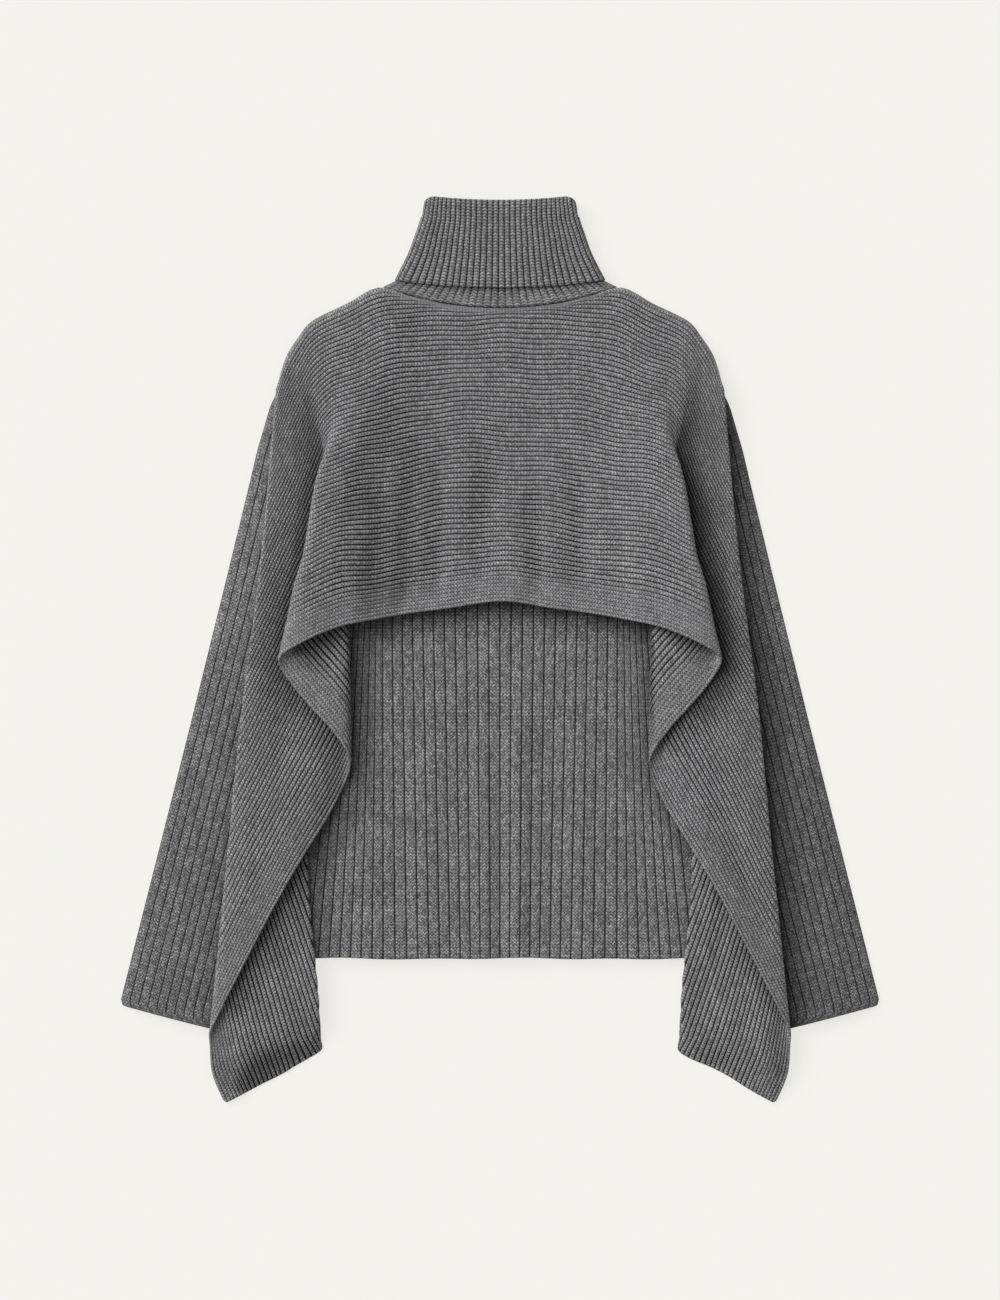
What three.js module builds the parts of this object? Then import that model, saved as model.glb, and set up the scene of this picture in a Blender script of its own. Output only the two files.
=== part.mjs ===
// A ribbed turtleneck sweater with a draped cape, laid flat on its back panel.
// Millimetres. +Z is up, off the surface it lies on. +Y runs from the hem to the collar.
// The origin is under the middle of the garment. The right half is described, and the left mirrors it.
import * as THREE from "three";

// ---- Driving sizes ----
const WALL = 2.4; // thickness of the knit
const SEAM = 0.3; // air between two pieces at a seam
const TUBE = 10; // height of a flattened body or sleeve
const HEM_Y = -284;
const HEM_HALF = 190;
const UNDERARM = { x: 154, y: 55 };
const SHOULDER = { x: 172, y: 295.5 }; // where the shoulder seam meets the armhole
const NECK = { half: 108, side: 333.7, front: 314.6, back: 324 }; // half width, and heights of the neck seam

const MID = TUBE / 2;
const ROLL = MID - WALL / 2; // radius of the middle of the wall where a panel turns to its side seam
const QUARTER = (ROLL * Math.PI) / 2;
const TURN_OUT = 40; // length below the underarm over which a rolled side flattens into the armhole
const TURN_DOWN = 6; // width beside the neck over which the shoulder starts to roll

// ---- Small helpers ----
const mix = (a, b, t) => a + (b - a) * t;
const clamp01 = (t) => Math.min(1, Math.max(0, t));
const smooth = (t) => clamp01(t) ** 2 * (3 - 2 * clamp01(t));
const range = (n) => Array.from({ length: n }, (_, i) => i);

// The value at x of a smooth curve through the points (xs, ys), by cubic Hermite pieces.
function curve(xs, ys, x) {
  const last = xs.length - 1;
  const at = Math.min(xs[last], Math.max(xs[0], x));
  let i = 0;
  while (i < last - 1 && at > xs[i + 1]) i += 1;
  const slope = (k) => {
    const a = Math.max(0, k - 1);
    const b = Math.min(last, k + 1);
    return (ys[b] - ys[a]) / (xs[b] - xs[a]);
  };
  const h = xs[i + 1] - xs[i];
  const t = (at - xs[i]) / h;
  const t2 = t * t;
  const t3 = t2 * t;
  return (
    (2 * t3 - 3 * t2 + 1) * ys[i] +
    (t3 - 2 * t2 + t) * h * slope(i) +
    (3 * t2 - 2 * t3) * ys[i + 1] +
    (t3 - t2) * h * slope(i + 1)
  );
}

// The height of a straight line through rows of [x, value].
function ramp(rows, x) {
  const i = Math.max(0, rows.findLastIndex((r) => r[0] <= x));
  const [a, b] = [rows[i], rows[Math.min(i + 1, rows.length - 1)]];
  return a === b ? a[1] : mix(a[1], b[1], clamp01((x - a[0]) / (b[0] - a[0])));
}

function geometryOf(points, triangles) {
  const g = new THREE.BufferGeometry();
  g.setAttribute("position", new THREE.Float32BufferAttribute(points.flat(), 3));
  g.setIndex(triangles.flat());
  return g;
}

// A wall around a grid of points at the middle of the cloth: grid[row][column] is [x, y, z].
// Rows run along +Y and columns along +X. No point goes below low or above high.
function wall(grid, low = 0, high = Infinity) {
  const rows = grid.length;
  const columns = grid[0].length;
  const at = (i, j) => new THREE.Vector3(...grid[i][j]);
  // The direction of a line of points at number k of n: across its neighbours, or fitted at an end.
  const slope = (pick, k, n) => {
    if (k > 0 && k < n - 1) return pick(k + 1).sub(pick(k - 1));
    const turn = k === 0 ? 1 : -1;
    const near = pick(k + turn).sub(pick(k));
    const far = pick(k + 2 * turn).sub(pick(k));
    const [a, b] = [near.length(), far.length()];
    return near.multiplyScalar((turn * b) / (a * (b - a))).addScaledVector(far, (-turn * a) / (b * (b - a)));
  };
  const normal = (i, j) => {
    const across = slope((k) => at(i, k), j, columns);
    const along = slope((k) => at(k, j), i, rows);
    return across.cross(along).normalize();
  };
  const points = [];
  for (const side of [0.5, -0.5])
    for (const i of range(rows))
      for (const j of range(columns))
        points.push(at(i, j).addScaledVector(normal(i, j), side * WALL));
  points.forEach((p) => p.setZ(Math.min(high, Math.max(low, p.z))));
  const top = (i, j) => i * columns + j;
  const under = (i, j) => rows * columns + top(i, j);
  const triangles = [];
  const quad = (a, b, c, d) => triangles.push([a, b, c], [a, c, d]);
  for (const i of range(rows - 1))
    for (const j of range(columns - 1)) {
      quad(top(i, j), top(i, j + 1), top(i + 1, j + 1), top(i + 1, j));
      quad(under(i, j), under(i + 1, j), under(i + 1, j + 1), under(i, j + 1));
    }
  for (const j of range(columns - 1)) {
    quad(top(0, j), under(0, j), under(0, j + 1), top(0, j + 1));
    quad(top(rows - 1, j + 1), under(rows - 1, j + 1), under(rows - 1, j), top(rows - 1, j));
  }
  for (const i of range(rows - 1)) {
    quad(top(i + 1, 0), under(i + 1, 0), under(i, 0), top(i, 0));
    const e = columns - 1;
    quad(top(i, e), under(i, e), under(i + 1, e), top(i + 1, e));
  }
  return geometryOf(points.map((p) => p.toArray()), triangles);
}

// A closed tube wall: rings[i] is a closed ring of points, and the last ring joins the first.
function loop(rings) {
  const n = rings.length;
  const m = rings[0].length;
  const id = (i, k) => (i % n) * m + (k % m);
  const triangles = [];
  for (const i of range(n))
    for (const k of range(m))
      triangles.push(
        [id(i, k), id(i, k + 1), id(i + 1, k + 1)],
        [id(i, k), id(i + 1, k + 1), id(i + 1, k)],
      );
  return geometryOf(rings.flat(), triangles);
}

// A flattened ring seen along its tube, as [side, height] pairs: two flats joined by half circles.
function stadium(half, low, high, flats, turns) {
  const r = (high - low) / 2;
  const straight = half - r;
  const pairs = [];
  for (const k of range(flats)) pairs.push([mix(-straight, straight, k / flats), high]);
  for (const k of range(turns)) {
    const angle = Math.PI * (0.5 - k / turns);
    pairs.push([straight + r * Math.cos(angle), low + r + r * Math.sin(angle)]);
  }
  for (const k of range(flats)) pairs.push([mix(straight, -straight, k / flats), low]);
  for (const k of range(turns)) {
    const angle = Math.PI * (0.5 + k / turns);
    pairs.push([-straight + r * Math.cos(angle), low + r - r * Math.sin(angle)]);
  }
  return pairs;
}

// ---- Body: two panels, rolled at the edges to meet at the side and shoulder seams ----
const bodyHalf = (y) => ramp([[HEM_Y, HEM_HALF], [UNDERARM.y, UNDERARM.x], [SHOULDER.y, SHOULDER.x]], y);
const neckSeam = (x, middle) => mix(middle, NECK.side, (x / NECK.half) ** 2);

// The top of a panel: the neck seam, then the shoulder seam.
function panelTop(x, middle) {
  const out = Math.abs(x);
  if (out < NECK.half) return neckSeam(x, middle) - SEAM;
  return mix(NECK.side, SHOULDER.y, (out - NECK.half) / (SHOULDER.x - NECK.half)) - SEAM;
}

// How a wall rolls over near a seam: the inset from the seam line, and the height over the seam.
function roll(fromEdge) {
  if (fromEdge > QUARTER) return { inset: ROLL + fromEdge - QUARTER, height: ROLL };
  const angle = fromEdge / ROLL;
  return { inset: ROLL * (1 - Math.cos(angle)), height: ROLL * Math.sin(angle) };
}

// face is 1 for the front panel, which lies on top, and -1 for the back panel.
function bodyPanel(face, neckMiddle) {
  const edge = [0, 2, 4, QUARTER, 12]; // distances in from the side seam
  const inner = [135, NECK.half, 80, 60, 40, 20]; // the rest, as x at the shoulder
  const half = [...edge.map((d) => ({ d })), ...inner.map((x) => ({ share: x / SHOULDER.x }))];
  const across = [
    ...half.map((c) => ({ ...c, side: -1 })),
    { share: 0, side: 0 },
    ...half.map((c) => ({ ...c, side: 1 })).reverse(),
  ];
  const fromTop = [0, 2, 4, QUARTER, 14];
  const levels = [HEM_Y, 0, 20, 38, UNDERARM.y, 90, 200, 250];
  const sewn = (y) => 1 - smooth((y - UNDERARM.y + TURN_OUT) / TURN_OUT);
  // A point of the panel at a level, away from the shoulders.
  const place = ({ d, share, side }, y) => {
    if (d === undefined) return [side * share * bodyHalf(y), y, ROLL];
    const bent = roll(d);
    const inset = mix(d + SEAM, bent.inset + WALL / 2, sewn(y));
    return [side * (bodyHalf(y) - inset), y, mix(ROLL, bent.height + SEAM / 2, sewn(y))];
  };
  // A point near the neck and shoulder seams, at a distance down from them.
  const placeTop = (column, offset) => {
    const x = place(column, SHOULDER.y)[0];
    const shoulder = smooth((Math.abs(x) - NECK.half) / TURN_DOWN);
    const over = roll(offset);
    const down = mix(offset, over.inset + WALL / 2, shoulder);
    return [x, panelTop(x, neckMiddle) - down, mix(ROLL, over.height + SEAM / 2, shoulder)];
  };
  const grid = [
    ...levels.map((y) => across.map((column) => place(column, y))),
    ...fromTop.reverse().map((offset) => across.map((column) => placeTop(column, offset))),
  ].map((row) => row.map(([x, y, height]) => [x, y, MID + face * height]));
  return face > 0 ? wall(grid, MID + SEAM / 2, TUBE) : wall(grid, 0, MID - SEAM / 2);
}

// ---- Sleeves: a flattened tube from the armhole to the cuff ----
// Outer and inner edge of the sleeve at stations down its length.
const SLEEVE = [
  { name: "armhole", outer: [173.1, 295], inner: [154.6, 54.5] },
  { name: "cap", outer: [191.5, 265.8], inner: [155, 52] },
  { name: "shoulder end", outer: [202.3, 244], inner: [155.4, 49.5] },
  { name: "upper arm", outer: [211.8, 225], inner: [156, 47] },
  { name: "below it", outer: [223.8, 184], inner: [157, 43] },
  { name: "biceps", outer: [231.5, 151], inner: [158, 38] },
  { name: "underarm level", outer: [251.7, 68], inner: [161, 22] },
  { name: "elbow", outer: [285.7, -70], inner: [187, -97] },
  { name: "forearm", outer: [318.7, -201], inner: [215, -227] },
  { name: "above the cuff", outer: [349.8, -323.6], inner: [242.5, -351.2] },
  { name: "cuff", outer: [347.5, -327.8], inner: [244.9, -354.3] },
];

function sleeve(side) {
  const section = (s, inset) => {
    const [o, i] = [s.outer, s.inner];
    const half = Math.hypot(o[0] - i[0], o[1] - i[1]) / 2;
    return stadium(half - inset, inset, TUBE - inset, 2, 4).map(([along, z]) => {
      const t = along / half / 2;
      return [side * ((o[0] + i[0]) / 2 + t * (o[0] - i[0])), (o[1] + i[1]) / 2 + t * (o[1] - i[1]), z];
    });
  };
  const rings = [
    ...SLEEVE.map((s) => section(s, 0)),
    ...SLEEVE.map((s) => section(s, WALL)).reverse(),
  ];
  return loop(side > 0 ? rings.reverse() : rings);
}

// ---- Collar: a stand with its top turned down outside it, in one wall ----
// Half width of the turned-down layer, from its edge up to the fold.
const COLLAR = {
  edge: 341, // height of the turned-down edge at the sides
  dip: 7, // how far that edge hangs lower at the middle of the front
  dipBack: 0.3, // share of the dip at the back
  dipFades: 50, // height over the edge at which the dip has gone
  top: 418.4, // height of the fold, and its half width
  topHalf: 71.3,
  turn: 414.5, // height at which the wall turns over into the fold
  sag: 4.4, // how much lower the fold is at its middle
  ends: 11, // how much lower it is at its rounded ends, which start at this share of the half width
  endsFrom: 0.82,
  sagFrom: 396, // height from which the sag and the rounded ends come in
  heights: [341, 352, 367, 382, 396, 406, 412],
  halves: [97, 91.5, 84.2, 78.7, 73.9, 72.5, 71.6],
};
const STACK = 2 * WALL + SEAM; // the stand and the turned-down layer together
const NECK_HOLLOW = 5.2; // height of the air inside the collar
const COLLAR_TOP_Z = 2 * STACK + NECK_HOLLOW;
const SEAM_TOP_Z = TUBE + 2.6; // height of the collar where it is sewn on, a little over the body

function collar() {
  const halfAt = (y) => curve(COLLAR.heights, COLLAR.halves, y);
  // How far a ring hangs below its level: less at the back, and less near the fold.
  const hang = (x, z, level, amount) => {
    const middle = 1 - Math.min(1, (x / COLLAR.halves[0]) ** 2);
    const nearEdge = 1 - smooth((level - COLLAR.edge) / COLLAR.dipFades);
    return amount * middle * nearEdge * (z > COLLAR_TOP_Z / 2 ? 1 : COLLAR.dipBack);
  };
  // The fold at the top runs a little lower at its middle, and rounds off at its ends.
  const crest = (x, level) => {
    const share = smooth((level - COLLAR.sagFrom) / (COLLAR.heights.at(-1) - COLLAR.sagFrom));
    const out = Math.abs(x) / COLLAR.halves.at(-1);
    const end = clamp01((out - COLLAR.endsFrom) / (1 - COLLAR.endsFrom));
    const round = 1 - Math.sqrt(1 - end ** 2);
    return share * (COLLAR.sag * (1 - Math.min(1, out) ** 2) + COLLAR.ends * round);
  };
  const ring = (inset, level, half = halfAt(level)) =>
    stadium(half - inset, inset, COLLAR_TOP_Z - inset, 9, 5).map(([x, z]) => [
      x,
      level - hang(x, z, level, COLLAR.dip) - crest(x, level),
      z,
    ]);
  const seamRing = (inset) =>
    stadium(NECK.half - inset, inset, SEAM_TOP_Z - inset, 9, 5).map(([x, z]) => {
      const upper = smooth((z - WALL) / (SEAM_TOP_Z - 2 * WALL));
      const seam = mix(neckSeam(x, NECK.back), neckSeam(x, NECK.front), upper);
      return [x, Math.min(seam, NECK.side) + 2 * SEAM, z];
    });
  const levels = [COLLAR.edge, 362, 386, 407];
  const rings = [
    seamRing(WALL),
    ...levels.map((y) => ring(STACK, y)),
    ring(STACK - WALL / 2, COLLAR.turn),
    ring(STACK / 2, COLLAR.top, COLLAR.topHalf),
    ring(WALL / 2, COLLAR.turn),
    ...levels.toReversed().map((y) => ring(0, y)),
    ...levels.map((y) => ring(WALL, y)),
    ...levels.toReversed().map((y) => ring(WALL + SEAM, y)),
    seamRing(0),
  ];
  return loop(rings.reverse());
}

// ---- Cape: one rectangle of cloth, wider than the shoulders, that falls in zigzag folds ----
// Each row is a line down the cloth, from its sewn upper edge to its hem: the middle, lines over
// the chest and along each fold, and the short end. Points stand at these shares of the width.
const WIDTH = 270;
const SHARES = [0, 0.25, 0.5, 0.625, 0.75, 1];
const CAPE = [
  // x and y of the line, and its height over what lies under the cape. bend is half the height
  // between the two layers that meet in a fold. spread is how far along a rib the bend reaches
  // where the fold is slack or open. wrap is how much of the upper edge's full wrap over the
  // shoulder the line has. closed is the share at which the fold has run out.
  {
    name: "middle", wrap: 0, bend: null,
    x: [0, 0, 0, 0, 0, 0],
    y: [314.3, 247, 180, 146, 112, 44],
    z: [1.6, 1.8, 2, 2.4, 4, 12],
  },
  {
    name: "throat", wrap: 0, bend: null,
    x: [48, 46, 45, 45, 45, 46],
    y: [317.9, 245.5, 178, 144, 109, 38.5],
    z: [1.6, 1.9, 2.4, 2.9, 4, 8.6],
  },
  {
    name: "chest", wrap: 0, bend: null,
    x: [86, 87, 87, 87, 88, 92],
    y: [326.3, 241, 172, 138, 103, 32.2],
    z: [2, 2.6, 4.6, 5.8, 7, 8.6],
  },
  {
    name: "beside the collar", wrap: 0.3, bend: null,
    x: [111.5, 110, 109, 110, 111, 115],
    y: [332.4, 237, 168, 134, 99, 28],
    z: [3.4, 4.2, 8.2, 10, 11.4, 13.4],
  },
  {
    name: "breast", wrap: 1, bend: null,
    x: [140, 133, 138, 141, 143, 147],
    y: [318.2, 231, 163, 129, 95, 21],
    z: [1.6, 6.6, 14, 16.8, 18.4, 19.6],
  },
  {
    name: "first fold, outwards", wrap: 1,
    bend: [0, 0.6, 4.2, 5, 5.2, 6.4],
    spread: [10, 14, 0, 0, 2, 32],
    x: [165.4, 153, 169, 175, 182, 211.5],
    y: [306.3, 226.5, 151, 114, 77, -7],
    z: [1.9, 7.2, 16.4, 17.8, 18, 19.2],
  },
  {
    name: "underside between them", wrap: 1, bend: null,
    x: [172, 161.5, 163, 167, 172, 174.5],
    y: [302.3, 217.5, 144, 104, 60, -51.5],
    z: [2.1, 6.8, 12, 12.6, 12.6, 12.6],
  },
  {
    name: "second fold, inwards", wrap: 1,
    bend: [0, 0.5, 2.6, 3, 3.4, 4.3],
    spread: [10, 12, 0, 4, 9, 33],
    x: [178.3, 168, 145, 142, 138, 129.5],
    y: [297.3, 207, 130, 81, 25, -103],
    z: [2.4, 5.8, 9, 9, 8.6, 8],
  },
  {
    name: "leg", wrap: 1, bend: null,
    x: [195.3, 188, 190, 192, 194, 197],
    y: [270.5, 154, 39, -21, -83, -218],
    z: [4, 8, 8.1, 8.1, 9.4, 14],
  },
  {
    name: "third fold, outwards", wrap: 0.2,
    bend: [1.7, 1.7, 1.7, 1.7, 2, 3.4],
    spread: [8, 5, 0, 0, 4, 14],
    x: [205.2, 218.5, 236, 243, 250, 267],
    y: [237.5, 89, -51, -122, -195, -352],
    z: [4.6, 6.7, 6.8, 6.8, 7.1, 7],
  },
  {
    name: "fourth fold, inwards", wrap: 0, closed: 0.66,
    bend: [1.6, 1.6, 1.6, 1.7, 1.7, 0],
    spread: [8, 5, 0, 0, 8, 12],
    x: [181, 177, 176.5, 168, 206, 265.8],
    y: [170, -16, -219, -350, -348, -390],
    z: [3.2, 3.2, 3.2, 3.8, 5, 3],
  },
  {
    name: "short end", wrap: 0, bend: null,
    x: [242, 246, 195, 163.8, 194, 253.6],
    y: [-193, -299, -355, -368, -386, -418],
    z: [1.6, 1.6, 1.5, 1.5, 1.5, 1.5],
  },
];
const ROUND = 0.9; // how far a bend spreads on each side of the fold, for its half height
const REACH = 0.48; // the most of the way to the next line that a bend takes up
const CORNER_CUT = 0.5; // how far a fully slack bend cuts its corner, of the way to the chord
const LEAST_SLANT = 0.2; // the most oblique a rib is taken to be to a fold
const CLOSING = 0.05; // share of the width over which a fold closes
const NEARBY = 0.02; // share of the width over which the direction of a fold is taken
const FALL = 44; // distance in which it comes down from the garment to the surface
const EDGE = { inner: [163, -326], outer: [253, -372] }; // the line along which it starts to rise again
const WRAP = 6; // radius in which the upper edge wraps down over the shoulder

// The height of what the cape lies on: the garment, then the surface beyond its hem and cuffs.
function bed(x, y) {
  const edge = ramp([EDGE.inner, EDGE.outer], x);
  return TUBE * smooth((y - edge + FALL) / FALL);
}

// How far the fully wrapped upper edge has dropped at a distance in from it.
function drop(fromEdge) {
  return fromEdge < WRAP ? WRAP - Math.sqrt(WRAP ** 2 - (WRAP - fromEdge) ** 2) : 0;
}

// The stations of one rib of the cape, from the middle out, at a share of the width.
function capeRib(share) {
  const place = (f, at) => new THREE.Vector2(curve(SHARES, f.x, at), curve(SHARES, f.y, at));
  const line = CAPE.map((f) => ({
    at: place(f, share),
    crease: place(f, Math.min(1, share + NEARBY))
      .sub(place(f, Math.max(0, share - NEARBY)))
      .normalize(),
    rise: curve(SHARES, f.z, share) - f.wrap * drop(share * WIDTH),
    spread: f.bend && curve(SHARES, f.spread, share),
    bend: f.bend && curve(SHARES, f.bend, share) * (1 - smooth((share - (f.closed ?? 2)) / CLOSING + 1)),
  }));
  const stations = [];
  const add = (at, rise) => stations.push([at.x, at.y, rise]);
  line.forEach((f, k) => {
    if (f.bend === null) {
      add(f.at, f.rise);
      return;
    }
    // A tight bend is as far across its fold line as it is high, so it is longer along an oblique
    // rib. A slack one cuts the corner.
    const tight = (d) => (ROUND * f.bend) / Math.max(LEAST_SLANT, Math.abs(d.cross(f.crease)) / d.length());
    const reach = (d) => Math.min(Math.max(f.spread, tight(d)), d.length() * REACH);
    const before = f.at.clone().sub(line[k - 1].at);
    const after = line[k + 1].at.clone().sub(f.at);
    const [back, on] = [reach(before), reach(after)];
    const slack = clamp01(1 - tight(before) / Math.max(f.spread, 1));
    const start = f.at.clone().addScaledVector(before.normalize(), -back);
    const end = f.at.clone().addScaledVector(after.normalize(), on);
    const middle = start.clone().add(end).multiplyScalar(0.5);
    add(start, f.rise + f.bend);
    add(f.at.clone().lerp(middle, slack * CORNER_CUT), f.rise);
    add(end, f.rise - f.bend);
  });
  return stations;
}

// Points along a smooth curve through the stations, steps[k] of them from station k on. Heights
// run from station to station without overshooting, so that layers keep apart.
function alongRib(stations, steps) {
  const flat = stations.map(([x, y]) => new THREE.Vector3(x, y, 0));
  const mirrored = new THREE.Vector3(-flat[1].x, flat[1].y, 0);
  const path = new THREE.CatmullRomCurve3([mirrored, ...flat], false, "centripetal");
  const climbs = stations.slice(1).map((s, k) => s[2] - stations[k][2]);
  const slope = (k) => {
    const [a, b] = [climbs[k - 1] ?? 0, climbs[k] ?? 0];
    return a * b > 0 ? (3 * a * b) / (a + b) : 0;
  };
  const height = (k, t) =>
    stations[k][2] +
    climbs[k] * t * t * (3 - 2 * t) +
    slope(k) * t * (1 - t) ** 2 -
    slope(k + 1) * t * t * (1 - t);
  const points = [];
  const add = (k, t) => {
    const p = path.getPoint((k + 1 + t) / stations.length);
    points.push([p.x, p.y, bed(p.x, p.y) + height(k, t)]);
  };
  steps.forEach((count, k) => range(count).forEach((n) => add(k, n / count)));
  add(stations.length - 2, 1);
  return points;
}

function cape() {
  const near = [0, 0.006, 0.014, 0.024, 0.07, 0.15, 0.25];
  const shares = [...near, 0.34, 0.43, 0.52, 0.58, 0.625, 0.67, 0.73, 0.86, 1];
  const steps = [2, 2, 1, 1, 3, 2, 2, 1, 1, 2, 2, 3, 3, 2, 2, 4, 2, 2, 4];
  const grid = shares.map((share) => {
    const right = alongRib(capeRib(share), steps);
    const left = right.slice(1).reverse().map(([x, y, z]) => [-x, y, z]);
    return [...left, ...right];
  });
  return wall(grid.reverse());
}

// ---- The garment ----
const RIB_BODY = new THREE.MeshStandardMaterial({ color: 0x6b6a6c, roughness: 0.95, metalness: 0 });
const RIB_CAPE = new THREE.MeshStandardMaterial({ color: 0x6e6d70, roughness: 0.95, metalness: 0 });
const RIB_COLLAR = new THREE.MeshStandardMaterial({ color: 0x656567, roughness: 0.95, metalness: 0 });

const sweater = new THREE.Group();
function piece(name, geometry, material) {
  const mesh = new THREE.Mesh(geometry, material);
  mesh.name = name;
  sweater.add(mesh);
}

piece("body_back", bodyPanel(-1, NECK.back), RIB_BODY);
piece("body_front", bodyPanel(1, NECK.front), RIB_BODY);
piece("sleeve_right", sleeve(1), RIB_BODY);
piece("sleeve_left", sleeve(-1), RIB_BODY);
piece("collar", collar(), RIB_COLLAR);
piece("cape", cape(), RIB_CAPE);

export default sweater;
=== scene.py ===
import math

import bpy
import numpy as np
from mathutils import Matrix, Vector


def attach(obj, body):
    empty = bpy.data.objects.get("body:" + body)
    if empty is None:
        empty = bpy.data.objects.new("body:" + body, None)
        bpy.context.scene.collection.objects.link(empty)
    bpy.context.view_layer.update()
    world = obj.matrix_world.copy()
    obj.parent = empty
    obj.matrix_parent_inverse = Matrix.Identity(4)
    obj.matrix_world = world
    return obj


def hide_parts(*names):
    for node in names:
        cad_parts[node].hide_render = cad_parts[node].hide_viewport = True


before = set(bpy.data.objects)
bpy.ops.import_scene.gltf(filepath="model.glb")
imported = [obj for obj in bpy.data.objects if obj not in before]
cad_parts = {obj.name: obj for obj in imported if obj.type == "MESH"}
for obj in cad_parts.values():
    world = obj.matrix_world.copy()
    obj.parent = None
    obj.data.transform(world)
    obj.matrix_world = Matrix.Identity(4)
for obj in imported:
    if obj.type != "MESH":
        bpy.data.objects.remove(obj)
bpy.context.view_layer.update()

# ---- Sizes of the garment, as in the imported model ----
MM = 0.001
WALL = 2.4  # thickness of the knit
SEAM = 0.3  # air between two pieces at a seam
TUBE = 10.0  # height of a flattened body or sleeve
HEM_Y = -284.0
HEM_HALF = 190.0
UNDERARM = (154.0, 55.0)
SHOULDER = (172.0, 295.5)
NECK_HALF = 108.0
NECK_SIDE = 333.7
NECK_FRONT = 314.6
NECK_BACK = 324.0
TURN_OUT = 40.0
TURN_DOWN = 6.0

MID = TUBE / 2
ROLL = MID - WALL / 2
QUARTER = ROLL * math.pi / 2

# ---- Knit: rib pitch, and depth of the groove between two ribs ----
BODY_RIB = {"pitch": 9.8, "depth": 1.0, "width": 0.075}
SLEEVE_RIB = {"pitch": 8.5, "depth": 0.9, "width": 0.09}
CAPE_RIB = {"pitch": 4.5, "depth": 1.0}
COLLAR_RIB = {"count": 66, "depth": 1.0}
GROOVE_NARROWS = 1.5  # over 1, a groove between round ribs is narrower than a rib
EDGE_THINS = 0.9  # how far the cloth thins at an edge: 1 would bring it to a point


# ---- Small helpers, on numbers or arrays ----
def mix(a, b, t):
    return a + (b - a) * t


def clamp01(t):
    return np.clip(t, 0.0, 1.0)


def smooth(t):
    t = clamp01(t)
    return t * t * (3 - 2 * t)


def curve(xs, ys, x):
    """The value at x of a smooth curve through the points (xs, ys), by cubic Hermite pieces."""
    xs = np.asarray(xs, float)
    ys = np.asarray(ys, float)
    x = np.clip(x, xs[0], xs[-1])
    slope = np.empty_like(ys)
    slope[1:-1] = (ys[2:] - ys[:-2]) / (xs[2:] - xs[:-2])
    slope[0] = (ys[1] - ys[0]) / (xs[1] - xs[0])
    slope[-1] = (ys[-1] - ys[-2]) / (xs[-1] - xs[-2])
    i = np.clip(np.searchsorted(xs, x, side="left") - 1, 0, len(xs) - 2)
    h = xs[i + 1] - xs[i]
    t = (x - xs[i]) / h
    return (
        (2 * t**3 - 3 * t**2 + 1) * ys[i]
        + (t**3 - 2 * t**2 + t) * h * slope[i]
        + (3 * t**2 - 2 * t**3) * ys[i + 1]
        + (t**3 - t**2) * h * slope[i + 1]
    )


def unit(v):
    return v / np.maximum(np.linalg.norm(v, axis=-1, keepdims=True), 1e-9)


def arc_length(points, axis):
    """The distance run along an axis of a grid of points, from its start."""
    steps = np.linalg.norm(np.diff(points, axis=axis), axis=-1)
    first = np.zeros_like(np.take(steps, [0], axis=axis))
    return np.concatenate([first, np.cumsum(steps, axis=axis)], axis=axis)


# ---- Meshes ----
def mesh_object(name, points, quads, knit, tone):
    """knit holds (length along the rib, ribs across) for each point. tone holds its painted shade, and the
    strength of its ribs, which also sets the painted shade in their grooves."""
    mesh = bpy.data.meshes.new(name)
    mesh.vertices.add(len(points))
    mesh.vertices.foreach_set("co", (points * MM).astype(np.float32).ravel())
    corners = quads.ravel().astype(np.int32)
    mesh.loops.add(len(corners))
    mesh.loops.foreach_set("vertex_index", corners)
    mesh.polygons.add(len(quads))
    mesh.polygons.foreach_set("loop_start", np.arange(0, len(corners), 4, dtype=np.int32))
    mesh.polygons.foreach_set("use_smooth", np.ones(len(quads), bool))
    mesh.update(calc_edges=True)
    mesh.uv_layers.new(name="knit").data.foreach_set("uv", knit[corners].astype(np.float32).ravel())
    shade = np.ones((len(points), 4), np.float32)
    shade[:, :2] = tone
    mesh.color_attributes.new("shade", "FLOAT_COLOR", "POINT").data.foreach_set("color", shade.ravel())
    made = bpy.data.objects.new(name, mesh)
    bpy.context.collection.objects.link(made)
    return made


def slopes(grid, axis):
    """The direction of each line of points along an axis, fitted at its two ends."""
    p = np.moveaxis(grid, axis, 0)
    out = np.empty_like(p)
    out[1:-1] = p[2:] - p[:-2]
    for end, turn in ((0, 1), (-1, -1)):
        near = p[end + turn] - p[end]
        far = p[end + 2 * turn] - p[end]
        a = np.linalg.norm(near, axis=-1, keepdims=True)
        b = np.linalg.norm(far, axis=-1, keepdims=True)
        out[end] = turn * (near * b / (a * (b - a)) - far * a / (b * (b - a)))
    return np.moveaxis(out, 0, axis)


def wall_points(grid, over, under):
    """Points over and under a grid at the middle of the cloth, at those distances from it."""
    normal = unit(np.cross(slopes(grid, 1), slopes(grid, 0)))
    return grid + normal * over[..., None], grid - normal * under[..., None]


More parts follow.
